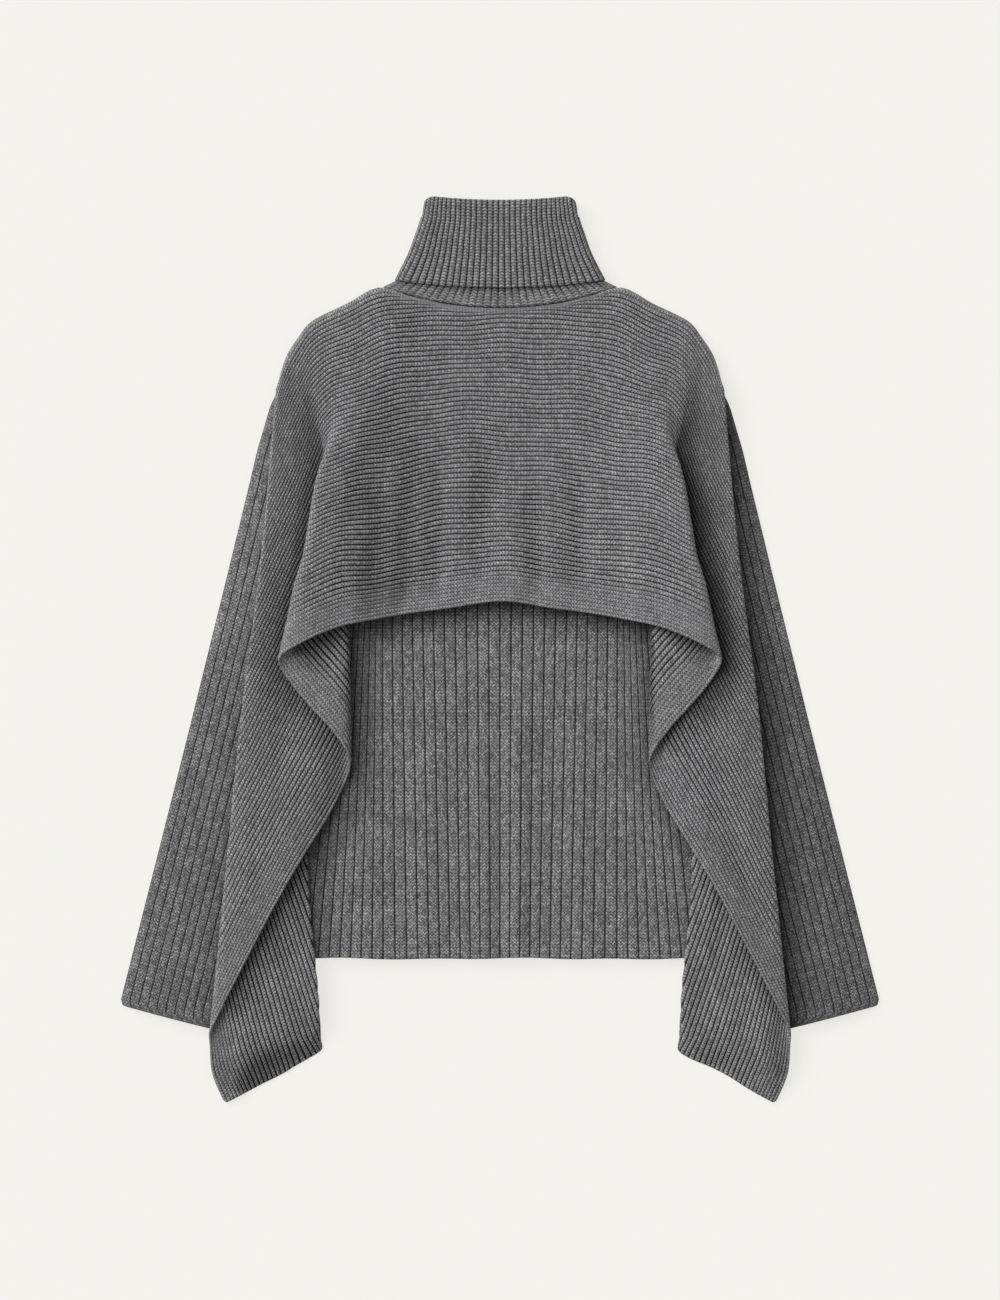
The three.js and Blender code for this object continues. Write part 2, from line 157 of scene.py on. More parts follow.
def wall_object(name, upper, lower, knit, tone):
    rows, columns = upper.shape[:2]
    top = np.arange(rows * columns).reshape(rows, columns)
    low = top + rows * columns

    def strip(a, b):
        """Quads between two lines of points, one over the other."""
        return np.stack([a[:-1], b[:-1], b[1:], a[1:]], axis=-1).reshape(-1, 4)

    quads = [
        np.stack([top[:-1, :-1], top[:-1, 1:], top[1:, 1:], top[1:, :-1]], axis=-1).reshape(-1, 4),
        np.stack([low[:-1, :-1], low[1:, :-1], low[1:, 1:], low[:-1, 1:]], axis=-1).reshape(-1, 4),
        strip(top[0], low[0]),
        strip(low[-1], top[-1]),
        strip(low[:, 0], top[:, 0]),
        strip(top[:, -1], low[:, -1]),
    ]
    points = np.concatenate([upper.reshape(-1, 3), lower.reshape(-1, 3)])
    knit, tone = (np.concatenate([a.reshape(rows * columns, -1)] * 2) for a in (knit, tone))
    return mesh_object(name, points, np.concatenate(quads), knit, tone)


def loop_object(name, rings, knit, tone):
    """A closed tube wall: the last ring joins the first, and each ring closes on itself."""
    n, m = rings.shape[:2]
    here = np.arange(n * m).reshape(n, m)
    on = np.roll(here, -1, axis=0)
    quads = np.stack([here, np.roll(here, -1, axis=1), np.roll(on, -1, axis=1), on], axis=-1).reshape(-1, 4)
    return mesh_object(name, rings.reshape(-1, 3), quads, knit.reshape(n * m, -1), tone.reshape(n * m, -1))


def stadium(half, low, high, flats, turns):
    """A flattened ring seen along its tube, as (side, height): two flats joined by half circles."""
    r = (high - low) / 2
    straight = half - r
    flat = np.linspace(-straight, straight, flats, endpoint=False)
    angle = np.pi * (0.5 - np.arange(turns) / turns)
    sides = np.concatenate([flat, straight + r * np.cos(angle), -flat, -straight - r * np.cos(angle)])
    heights = np.concatenate(
        [np.full(flats, high), low + r + r * np.sin(angle), np.full(flats, low), low + r - r * np.sin(angle)]
    )
    return sides, heights


def edge_round(distance):
    """The share of the full thickness at a distance in from a cut or knitted edge."""
    return np.sqrt(1 - (1 - clamp01(distance / (WALL / 2))) ** 2 * EDGE_THINS)


def wide_groove(ribs, rib):
    """Depth of the narrow groove between wide ribs."""
    off = np.abs(ribs - np.round(ribs))
    return rib["depth"] * np.exp(-((off / rib["width"]) ** 2))


def close_groove(ribs, depth):
    """Depth under the crest of a round, narrow rib."""
    return depth * (0.5 + 0.5 * np.cos(2 * np.pi * ribs)) ** GROOVE_NARROWS


def tone_of(grid, shade=1.0, strength=1.0):
    return np.stack([np.zeros(grid.shape[:2]) + shade, np.zeros(grid.shape[:2]) + strength], axis=-1)


# ---- Body ----
BODY_PLAIN = 110.0  # half width within which the ribs hang straight
BODY_WIDER = (-0.08, 0.07)  # how much wider than the others the middle ribs are, at the hem and the underarm
HEM_WAVE = {"size": 0.5, "fades": 60.0, "short": 13, "long": 29, "phase": 1}
BODY_SPACING = 4.0  # between the lines of points over the part that shows
BODY_HEM_STEPS = 5  # lines of points at the rounded hem
BODY_ABOVE_HEM = 6.0  # height over the hem at which the other lines start
BODY_HIDDEN = (250, 16)  # level up to which the hidden part has plain lines, and their number
BODY_CLEAR = 0.5  # the least width between the side's lines of points and the ribs'
BODY_PROUD = 0.2  # by which the front may stand over the tube
EDGE_STEPS = np.array([0, 0.4, 1, 1.8, 2.8, 3.8, 4.8, QUARTER, 7.5, 9, 10.5, 12])
RIB_OFFSETS = (0, 0.045, 0.1, 0.2, 0.5, 0.8, 0.9, 0.955)  # places across a rib, in ribs


def body_half(y):
    return np.interp(y, [HEM_Y, UNDERARM[1], SHOULDER[1]], [HEM_HALF, UNDERARM[0], SHOULDER[0]])


def panel_top(x, middle):
    out = np.abs(x)
    neck = mix(middle, NECK_SIDE, (x / NECK_HALF) ** 2)
    shoulder = mix(NECK_SIDE, SHOULDER[1], (out - NECK_HALF) / (SHOULDER[0] - NECK_HALF))
    return np.where(out < NECK_HALF, neck, shoulder) - SEAM


def roll_over(from_edge):
    """How a wall rolls over near a seam: its inset from the seam line, and its height over the seam."""
    angle = np.minimum(from_edge, QUARTER) / ROLL
    inset = ROLL * (1 - np.cos(angle)) + np.maximum(from_edge - QUARTER, 0)
    return inset, ROLL * np.sin(angle)


# How fast a ridge comes in and runs out, for its length, and where it ends.
RIDGE_FADE = {"in": 3, "out": 4, "end": 1.15}
# Soft ridges of the cloth, from one end to the other: places, half width and height.
BODY_RIDGES = [
    {"from": (-16, -20), "to": (-13, -300), "half": 9, "height": 2.4},
    {"from": (19, -10), "to": (15, -300), "half": 10, "height": 3},
    {"from": (-62, -60), "to": (-70, -300), "half": 14, "height": 1.5},
    {"from": (70, -90), "to": (78, -300), "half": 13, "height": 1.7},
    {"from": (-118, -140), "to": (-124, -300), "half": 12, "height": 1.4},
    {"from": (112, -150), "to": (122, -300), "half": 12, "height": 1.2},
]


def ridges(rows, x, y):
    """The height of soft ridges at a place, which fade in over their upper third."""
    total = np.zeros_like(x, dtype=float)
    for row in rows:
        (x0, y0), (x1, y1) = row["from"], row["to"]
        run = np.array([x1 - x0, y1 - y0], float)
        length = np.hypot(*run)
        run /= length
        along = ((x - x0) * run[0] + (y - y0) * run[1]) / length
        off = (x - x0) * run[1] - (y - y0) * run[0]
        fade = smooth(along * RIDGE_FADE["in"]) * smooth((RIDGE_FADE["end"] - along) * RIDGE_FADE["out"])
        total += row["height"] * fade * np.exp(-((off / row["half"]) ** 2))
    return total


def body_panel(name, face, neck_middle):
    last = EDGE_STEPS[-1]
    ribs = np.arange(-HEM_HALF // BODY_RIB["pitch"], HEM_HALF // BODY_RIB["pitch"] + 1)
    inner = np.concatenate([ribs + offset for offset in RIB_OFFSETS]) * BODY_RIB["pitch"]
    inner = np.sort(inner[np.abs(inner) < HEM_HALF - last - BODY_CLEAR])
    at_hem = np.concatenate([-HEM_HALF + EDGE_STEPS, inner, HEM_HALF - EDGE_STEPS[::-1]])
    side = np.sign(at_hem)
    from_side = HEM_HALF - np.abs(at_hem)

    def place(y):
        """x and height of the columns at a level away from the shoulders."""
        sewn = 1 - smooth((y - UNDERARM[1] + TURN_OUT) / TURN_OUT)
        inset, height = roll_over(np.minimum(from_side, last))
        inset = mix(np.minimum(from_side, last) + SEAM, inset + WALL / 2, sewn)
        edge_x = body_half(y) - inset
        share = (np.abs(at_hem) - BODY_PLAIN) / (HEM_HALF - last - BODY_PLAIN)
        plain = np.where(share > 0, mix(BODY_PLAIN, body_half(y) - inset, share), np.abs(at_hem))
        wider = mix(*BODY_WIDER, (y - HEM_Y) / (UNDERARM[1] - HEM_Y))
        plain = plain * (1 + wider * np.maximum(0, 1 - (plain / BODY_PLAIN) ** 2))
        x = side * np.where(from_side <= last, edge_x, plain)
        return x, mix(ROLL, height + SEAM / 2, sewn)

    rows = []
    lowest = HEM_Y + BODY_ABOVE_HEM
    shown = np.arange(lowest, UNDERARM[1], BODY_SPACING) if face > 0 else []
    hidden = np.linspace(UNDERARM[1] if face > 0 else lowest, *BODY_HIDDEN)
    for y in [*(HEM_Y + EDGE_STEPS[:BODY_HEM_STEPS]), *shown, *hidden]:
        x, height = place(y)
        rows.append(np.stack([x, np.full_like(x, y), height], axis=-1))
    for offset in EDGE_STEPS[::-1]:
        x, _ = place(SHOULDER[1])
        shoulder = smooth((np.abs(x) - NECK_HALF) / TURN_DOWN)
        inset, height = roll_over(offset)
        down = mix(offset, inset + WALL / 2, shoulder)
        z = mix(ROLL, height + SEAM / 2, shoulder)
        rows.append(np.stack([x, panel_top(x, neck_middle) - down, z], axis=-1))
    grid = np.array(rows)
    grid[..., 2] = MID + face * grid[..., 2]

    near_hem = 1 - smooth((grid[..., 1] - HEM_Y) / HEM_WAVE["fades"])
    short = np.sin(grid[..., 0] / HEM_WAVE["short"])
    long = np.sin(grid[..., 0] / HEM_WAVE["long"] + HEM_WAVE["phase"])
    grid[..., 1] += HEM_WAVE["size"] * near_hem * (short + long)
    raised = ridges(BODY_RIDGES, grid[..., 0], grid[..., 1]) * (face > 0)
    grid[..., 2] += raised
    ribs = np.broadcast_to(at_hem / BODY_RIB["pitch"], grid.shape[:2])
    groove = wide_groove(ribs, BODY_RIB)
    hem = edge_round(grid[..., 1] - HEM_Y)
    half = WALL / 2 * hem
    over = half - groove * (face > 0)
    under = half - groove * (face < 0)
    upper, lower = wall_points(grid, over, under)
    low, high = (MID + SEAM / 2, TUBE + BODY_PROUD + raised) if face > 0 else (0.0, MID - SEAM / 2)
    for surface in (upper, lower):
        surface[..., 2] = np.clip(surface[..., 2], low, high)
    knit = np.stack([grid[..., 1], ribs], axis=-1)
    # Painted shade on the front, under the cape.
    shade = shade_at(grid[..., :2], 0.0) if face > 0 else 1.0
    return wall_object(name, upper, lower, knit, tone_of(grid, shade))


# ---- Sleeves: a flattened tube from the armhole to the cuff ----
# Outer and inner edge of the sleeve at stations down its length.
SLEEVE = [
    {"name": "armhole", "outer": (173.1, 295), "inner": (154.6, 54.5)},
    {"name": "cap", "outer": (191.5, 265.8), "inner": (155, 52)},
    {"name": "shoulder end", "outer": (202.3, 244), "inner": (155.4, 49.5)},
    {"name": "upper arm", "outer": (211.8, 225), "inner": (156, 47)},
    {"name": "below it", "outer": (223.8, 184), "inner": (157, 43)},
    {"name": "biceps", "outer": (231.5, 151), "inner": (158, 38)},
    {"name": "underarm level", "outer": (251.7, 68), "inner": (161, 22)},
    {"name": "elbow", "outer": (285.7, -70), "inner": (187, -97)},
    {"name": "forearm", "outer": (318.7, -201), "inner": (215, -227)},
    {"name": "above the cuff", "outer": (349.8, -323.6), "inner": (242.5, -351.2)},
    {"name": "cuff", "outer": (347.5, -327.8), "inner": (244.9, -354.3)},
]
SLEEVE_ROUND = (84, 8)  # points along each flat and each turn of a ring
SLEEVE_SPACING = 7.0  # between two rings
CUFF_STEPS = 4  # rings at the rounded cuff
# Painted shade: the share of the light that the lower arms lose beside the cape, set for each side.
LOWER_ARM_SHADE = {"from": 70.0, "run": 170.0, "left": 0.12, "right": 0.24}
SLEEVE_DOME = 6.5  # how much thinner a flattened sleeve is at its edges than at its middle


def lower_arm_shade(y):
    return smooth((LOWER_ARM_SHADE["from"] - y) / LOWER_ARM_SHADE["run"])


def sleeve(name, side):
    outer = np.array([s["outer"] for s in SLEEVE], float)
    inner = np.array([s["inner"] for s in SLEEVE], float)
    run = arc_length(outer, 0)
    total = run[-1]
    at_cuff = total - EDGE_STEPS[:CUFF_STEPS][::-1]
    stops = np.concatenate([np.arange(0, total - SLEEVE_SPACING / 2, SLEEVE_SPACING), at_cuff])
    o = np.stack([np.interp(stops, run, outer[:, k]) for k in (0, 1)], axis=-1)
    i = np.stack([np.interp(stops, run, inner[:, k]) for k in (0, 1)], axis=-1)
    along_edge = unit(slopes(o, 0))
    across = unit(o - i)
    square = np.abs(across[:, 0] * along_edge[:, 1] - across[:, 1] * along_edge[:, 0])
    flats, turns = SLEEVE_ROUND
    cuff = edge_round(total - stops)

    def rings(inset):
        made = []
        for k, (a, b) in enumerate(zip(o, i)):
            half = np.linalg.norm(a - b) / 2
            depth = inset if inset < WALL / 2 else WALL
            depth = mix(WALL / 2, depth, cuff[k])
            t, z = stadium(half - depth, depth, TUBE - depth, flats, turns)
            over = z > MID
            away = (half - t) * square[k] / SLEEVE_RIB["pitch"]
            ribs = np.where(over, away, -away)
            cut = wide_groove(ribs, SLEEVE_RIB) * cuff[k] * (inset == 0)
            z = z + np.where(over, -cut, cut) * smooth((np.abs(z - MID)) / (MID - WALL / 2))
            t = t / half / 2
            z = z - SLEEVE_DOME * (2 * t) ** 2 * z / TUBE
            xy = (a + b) / 2 + t[:, None] * (a - b)
            made.append(np.column_stack([side * xy[:, 0], xy[:, 1], z, ribs]))
        return np.array(made)

    wall = np.concatenate([rings(0.0), rings(WALL)[::-1]])
    if side > 0:
        wall = wall[::-1]
    along = np.concatenate([stops, stops[::-1]])
    knit = np.stack([np.broadcast_to(along[:, None], wall.shape[:2]), wall[..., 3]], axis=-1)
    # Painted shade from the cape around the sleeve, and more on the lower arms.
    shade = shade_at(wall[..., :2], 0.0, sides=(1.0,))
    shade = shade * (1 - (LOWER_ARM_SHADE["right"] if side > 0 else LOWER_ARM_SHADE["left"]) * lower_arm_shade(wall[..., 1]))
    return loop_object(name, wall[..., :3], knit, tone_of(wall, shade))


# ---- Collar: a stand with its top turned down outside it, in one wall ----
EDGE = 341.0  # level of the turned-down edge
DIP = 7.0  # by which it dips at the middle of the front
DIP_BACK = 0.3  # of that, at the back
DIP_FADES = 50.0  # height over the edge at which the dip has gone
FOLD = 418.4  # level of the collar's top
TURN = 407.0  # level from which the cloth turns over
SAG = 4.4  # of the top at its middle
ENDS = 11.0  # by which the rounded ends of the top are lower
ENDS_FROM = 0.82  # share of the half width from which the ends are rounded
SAG_FROM = 396.0  # level from which the sag and the rounded ends come in
TOP_NARROWS = 0.3  # by which the turn at the top narrows
FOLD_STEPS = 12
FOLD_FULLNESS = 0.8  # under 1, the turn at the top is fuller than a half circle
LIP_STEPS = 6
CREASE = 2.0  # by which the crease inside the turn stands over the two layers it joins
LIP = 1.0  # by which the turned-down edge bulges below its last ring
COLLAR_HEIGHTS = [341, 352, 367, 382, 396, 406, 412]
COLLAR_HALVES = [97, 91.5, 84.2, 78.7, 73.9, 72.5, 71.6]
COLLAR_WIDER = (-0.05, 0.13)  # how much wider than the others the middle ribs are, at the edge and the top
BASE_RINGS = 9  # rings from the seam to the turned-down edge
BASE_SHADE = 0.5  # of the light that is lost just under that edge
BASE_SHADE_RINGS = 2.2  # over which that shade fades
BASE_STRENGTH = 0.35  # of the ribs at the neck seam, where they are stretched flat
STACK = 2 * WALL + SEAM  # the stand and the turned-down layer together
COLLAR_AIR = 5.2  # height of the hollow inside the collar
COLLAR_TOP_Z = 2 * STACK + COLLAR_AIR
SEAM_RISE = 2.6  # by which the neck seam stands over the flattened body
SEAM_TOP_Z = TUBE + SEAM_RISE
SEAM_STEPS = {"inside": 5, "outside": 7}  # steps from the stand to the neck seam
COLLAR_ROUND = (171, 27)  # points along each flat and each turn of a ring
COLLAR_LEVELS = np.linspace(EDGE, TURN, 17)


def collar(name):
    flats, turns = COLLAR_ROUND
    count = 2 * (flats + turns)
    ribs = np.arange(count) * COLLAR_RIB["count"] / count
    groove = close_groove(ribs, COLLAR_RIB["depth"])

    def ring(inset, level, cut=0.0):
        half = curve(COLLAR_HEIGHTS, COLLAR_HALVES, np.array(level))
        half = half - TOP_NARROWS * smooth((level - TURN) / (FOLD - TURN))
        x, z = stadium(half - inset, inset, COLLAR_TOP_Z - inset, flats, turns)
        # The ribs stand nearly parallel at the middle, so towards the top they close up at the sides.
        wider = mix(*COLLAR_WIDER, (level - EDGE) / (TURN - EDGE))
        x = x * (1 + wider * np.maximum(0, 1 - (x / (half - inset - COLLAR_TOP_Z / 2)) ** 2))
        # The groove is cut into the wall, square to the ring.
        r = COLLAR_TOP_Z / 2 - inset
        core = np.clip(x, -(half - inset - r), half - inset - r)
        scale = 1 - cut * groove / r
        x = core + (x - core) * scale
        z = COLLAR_TOP_Z / 2 + (z - COLLAR_TOP_Z / 2) * scale
        middle = 1 - np.minimum(1, (x / COLLAR_HALVES[0]) ** 2)
        near_edge = 1 - smooth((level - EDGE) / DIP_FADES)
        hang = DIP * middle * near_edge * np.where(z > COLLAR_TOP_Z / 2, 1, DIP_BACK)
        out = np.abs(x) / COLLAR_HALVES[-1]
        ends = 1 - np.sqrt(1 - clamp01((out - ENDS_FROM) / (1 - ENDS_FROM)) ** 2)
        crest = SAG * (1 - np.minimum(1, out) ** 2) + ENDS * ends
        crest = crest * smooth((level - SAG_FROM) / (COLLAR_HEIGHTS[-1] - SAG_FROM))
        return np.column_stack([x, level - hang - crest, z])

    def seam_ring(inset, cut=0.0):
        x, z = stadium(NECK_HALF - inset, inset, SEAM_TOP_Z - inset, flats, turns)
        upper = smooth((z - WALL) / (SEAM_TOP_Z - 2 * WALL))
        bow = (x / NECK_HALF) ** 2
        seam = mix(mix(NECK_BACK, NECK_SIDE, bow), mix(NECK_FRONT, NECK_SIDE, bow), upper)
        z = z - cut * groove * np.sign(z - SEAM_TOP_Z / 2)
        return np.column_stack([x, np.minimum(seam, NECK_SIDE) + 2 * SEAM, z])

    def between(a, b, n):
        return [mix(a, b, t) for t in np.linspace(0, 1, n, endpoint=False)[1:]]

    stand_in = [ring(STACK, y, cut=-1) for y in COLLAR_LEVELS]
    stand_out = [ring(WALL + SEAM, y, cut=1) for y in COLLAR_LEVELS[::-1]]
    roll_out = [ring(0, y, cut=1) for y in COLLAR_LEVELS[::-1]]
    roll_in = [ring(WALL, y) for y in COLLAR_LEVELS]
    fold = []
    for angle in np.linspace(0, np.pi, FOLD_STEPS + 1)[1:-1]:
        inset = STACK / 2 * (1 + np.cos(angle))
        level = TURN + (FOLD - TURN) * np.sin(angle) ** FOLD_FULLNESS
        fold.append(ring(inset, level, cut=-np.cos(angle)))
    lip = []
    for angle in np.linspace(0, np.pi, LIP_STEPS + 1)[1:-1]:
        inset = WALL / 2 * (1 - np.cos(angle))
        lip.append(ring(inset, EDGE - LIP * np.sin(angle), cut=max(0.0, np.cos(angle))))
    crease = ring(WALL + SEAM / 2, TURN + CREASE)
    seam_in, seam_out = seam_ring(WALL), seam_ring(0, cut=BASE_STRENGTH)
    rings = [
        seam_in,
        *between(seam_in, stand_in[0], SEAM_STEPS["inside"]),
        *stand_in,
        *fold,
        *roll_out,
        *lip,
        *roll_in,
        crease,
        *stand_out,
        *between(stand_out[-1], seam_out, SEAM_STEPS["outside"]),
        seam_out,
        mix(seam_out, seam_in, 0.5),
    ]
    rings = np.array(rings[::-1])
    along = arc_length(rings, 0)
    knit = np.stack([along, np.broadcast_to(ribs, along.shape)], axis=-1)
    # From the seam up to the turned-down edge, with painted shade on the cloth just under that edge.
    ring_number = np.arange(len(rings))[:, None]
    base = smooth(ring_number / BASE_RINGS)
    shade = 1 - BASE_SHADE * np.exp(-(((ring_number - BASE_RINGS) / BASE_SHADE_RINGS) ** 2))
    return loop_object(name, rings, knit, tone_of(rings, shade, mix(BASE_STRENGTH, 1, base)))


# ---- Cape: one rectangle of cloth, wider than the shoulders, that falls in zigzag folds ----
# Each row is a line down the cloth, from its sewn upper edge to its hem: the middle, lines over
# the chest and along each fold, and the short end. Points stand at these shares of the width.
WIDTH = 270.0
SHARES = [0, 0.25, 0.5, 0.625, 0.75, 1]
CAPE = [
    # x and y of the line, and its height over what lies under the cape. bend is half the height
    # between the two layers that meet in a fold. spread is how far along a rib the bend reaches
    # where the fold is slack or open. wrap is how much of the upper edge's full wrap over the
    # shoulder the line has. closed is the share at which the fold has run out.
    {
        "name": "middle", "wrap": 0,
        "x": [0, 0, 0, 0, 0, 0],
        "y": [314.3, 247, 180, 146, 112, 44],
        "z": [1.6, 1.8, 2, 2.4, 4, 12],
    },
    {
        "name": "throat", "wrap": 0,
        "x": [48, 46, 45, 45, 45, 46],
        "y": [317.9, 245.5, 178, 144, 109, 38.5],
        "z": [1.6, 1.9, 2.4, 2.9, 4, 8.6],
    },
    {
        "name": "chest", "wrap": 0,
        "x": [86, 87, 87, 87, 88, 92],
        "y": [326.3, 241, 172, 138, 103, 32.2],
        "z": [2, 2.6, 4.6, 5.8, 7, 8.6],
    },
    {
        "name": "beside the collar", "wrap": 0.3,
        "x": [111.5, 110, 109, 110, 111, 115],
        "y": [332.4, 237, 168, 134, 99, 28],
        "z": [3.4, 4.2, 8.2, 10, 11.4, 13.4],
    },
    {
        "name": "breast", "wrap": 1,
        "x": [140, 133, 138, 141, 143, 147],
        "y": [318.2, 231, 163, 129, 95, 21],
        "z": [1.6, 6.6, 14, 16.8, 18.4, 19.6],
    },
    {
        "name": "first fold, outwards", "wrap": 1,
        "bend": [0, 0.6, 4.2, 5, 5.2, 6.4],
        "spread": [10, 14, 0, 0, 2, 32],
        "x": [165.4, 153, 169, 175, 182, 211.5],
        "y": [306.3, 226.5, 151, 114, 77, -7],
        "z": [1.9, 7.2, 16.4, 17.8, 18, 19.2],
    },
    {
        "name": "underside between them", "wrap": 1,
        "x": [172, 161.5, 163, 167, 172, 174.5],
        "y": [302.3, 217.5, 144, 104, 60, -51.5],
        "z": [2.1, 6.8, 12, 12.6, 12.6, 12.6],
    },
    {
        "name": "second fold, inwards", "wrap": 1,
        "bend": [0, 0.5, 2.6, 3, 3.4, 4.3],
        "spread": [10, 12, 0, 4, 9, 33],
        "x": [178.3, 168, 145, 142, 138, 129.5],
        "y": [297.3, 207, 130, 81, 25, -103],
        "z": [2.4, 5.8, 9, 9, 8.6, 8],
    },
    {
        "name": "leg", "wrap": 1,
        "x": [195.3, 188, 190, 192, 194, 197],
        "y": [270.5, 154, 39, -21, -83, -218],
        "z": [4, 8, 8.1, 8.1, 9.4, 14],
    },
    {
        "name": "third fold, outwards", "wrap": 0.2,
        "bend": [1.7, 1.7, 1.7, 1.7, 2, 3.4],
        "spread": [8, 5, 0, 0, 4, 14],
        "x": [205.2, 218.5, 236, 243, 250, 267],
        "y": [237.5, 89, -51, -122, -195, -352],
        "z": [4.6, 6.7, 6.8, 6.8, 7.1, 7],
    },
    {
        "name": "fourth fold, inwards", "wrap": 0, "closed": 0.66,
        "bend": [1.6, 1.6, 1.6, 1.7, 1.7, 0],
        "spread": [8, 5, 0, 0, 8, 12],
        "x": [181, 177, 176.5, 168, 206, 265.8],
        "y": [170, -16, -219, -350, -348, -390],
        "z": [3.2, 3.2, 3.2, 3.8, 5, 3],
    },
    {
        "name": "short end", "wrap": 0,
        "x": [242, 246, 195, 163.8, 194, 253.6],
        "y": [-193, -299, -355, -368, -386, -418],
        "z": [1.6, 1.6, 1.5, 1.5, 1.5, 1.5],
    },
]
ROUND = 0.9  # how far a bend spreads on each side of the fold, for its half height
REACH = 0.48  # the most of the way to the next line that a bend takes up
CORNER_CUT = 0.5  # how far a fully slack bend cuts its corner, of the way to the chord
LEAST_SLANT = 0.2  # the most oblique a rib is taken to be to a fold
CLOSING = 0.05  # share of the width over which a fold closes
NEARBY = 0.02  # share of the width over which the direction of a fold is taken
FALL = 44.0  # distance in which it comes down from the garment to the surface
RISE_FROM = ((163, -326), (253, -372))  # the line along which it starts to rise again
WRAP = 6.0  # radius in which the upper edge wraps down over the shoulder
RIB_STEPS = 4  # lines of points to a rib
SHARE_STEPS = 4000  # steps over the width in which the ribs are counted
OFF_FLOOR = 0.05  # the least height of the cape over the floor
# Points from each station to the next, and the places of the last ones, up to the short end.
CAPE_STEPS = [7, 6, 4, 4, 6, 4, 4, 3, 4, 3, 3, 6, 6, 4, 4, 6, 3, 3]
TIP_ROUND = 4.0  # radius of the corner of the cloth at the hem
LAST_STEPS = [0, 0.14, 0.28, 0.42, 0.56, 0.7, 0.84, 0.94, 0.98, 0.995, 1]


def bed(x, y):
    """The height of what the cape lies on: the garment, then the surface beyond its hem and cuffs."""
    edge = np.interp(x, *zip(*RISE_FROM))
    return TUBE * smooth((y - edge + FALL) / FALL)


def drop(from_edge):
    """How far the fully wrapped upper edge has dropped at a distance in from it."""
    inside = np.clip(WRAP - from_edge, 0, WRAP)
    return WRAP - np.sqrt(WRAP**2 - inside**2)


def cape_stations(shares):
    """The stations of each row: an array of (row, station, xyz), from its share at each line."""

    def place(f, at):
        return np.stack([curve(SHARES, f["x"], at), curve(SHARES, f["y"], at)], axis=-1)

    lines = []
    for f, share in zip(CAPE, shares.T):
        bend = spread = None
        if "bend" in f:
            spread = curve(SHARES, f["spread"], share)
            shut = 1 - smooth((share - f.get("closed", 2)) / CLOSING + 1)
            bend = curve(SHARES, f["bend"], share) * shut
        crease = unit(place(f, np.minimum(1, share + NEARBY)) - place(f, np.maximum(0, share - NEARBY)))
        rise = curve(SHARES, f["z"], share) - f["wrap"] * drop(share * WIDTH)
        lines.append({"at": place(f, share), "crease": crease, "rise": rise, "bend": bend, "spread": spread})

    stations = []
    for k, f in enumerate(lines):
        if f["bend"] is None:
            stations.append(np.column_stack([f["at"], f["rise"]]))
            continue

        def tight(d):
            slant = np.abs(d[:, 0] * f["crease"][:, 1] - d[:, 1] * f["crease"][:, 0])
            return ROUND * f["bend"] / np.maximum(LEAST_SLANT, slant / np.linalg.norm(d, axis=-1))

        def reach(d):
            longest = np.linalg.norm(d, axis=-1) * REACH
            return np.minimum(np.maximum(tight(d), f["spread"]), longest)[:, None]

        before = f["at"] - lines[k - 1]["at"]
        after = lines[k + 1]["at"] - f["at"]
        # A slack bend cuts the corner.
        slack = clamp01(1 - tight(before) / np.maximum(f["spread"], 1))[:, None]
        start = f["at"] - unit(before) * reach(before)
        end = f["at"] + unit(after) * reach(after)
        turn = mix(f["at"], (start + end) / 2, slack * CORNER_CUT)
        stations.append(np.column_stack([start, f["rise"] + f["bend"]]))
        stations.append(np.column_stack([turn, f["rise"]]))
        stations.append(np.column_stack([end, f["rise"] - f["bend"]]))
    return np.stack(stations, axis=1)


def smooth_path(points, k, t):
    """Points at t between points k and k + 1, on the centripetal Catmull-Rom curve through them."""
    p1, p2 = points[:, k], points[:, k + 1]
    p0 = points[:, k - 1] if k > 0 else 2 * p1 - p2
    p3 = points[:, k + 2] if k + 2 < points.shape[1] else 2 * p2 - p1
    d0, d1, d2 = (np.sqrt(np.linalg.norm(b - a, axis=-1))[:, None] for a, b in ((p0, p1), (p1, p2), (p2, p3)))
    t1 = ((p1 - p0) / d0 - (p2 - p0) / (d0 + d1) + (p2 - p1) / d1) * d1
    t2 = ((p2 - p1) / d1 - (p3 - p1) / (d1 + d2) + (p3 - p2) / d2) * d1
    t = np.atleast_2d(t)[..., None]
    p1, p2, t1, t2 = (v[:, None] for v in (p1, p2, t1, t2))
    return p1 + t1 * t + (-3 * p1 + 3 * p2 - 2 * t1 - t2) * t**2 + (2 * p1 - 2 * p2 + t1 + t2) * t**3


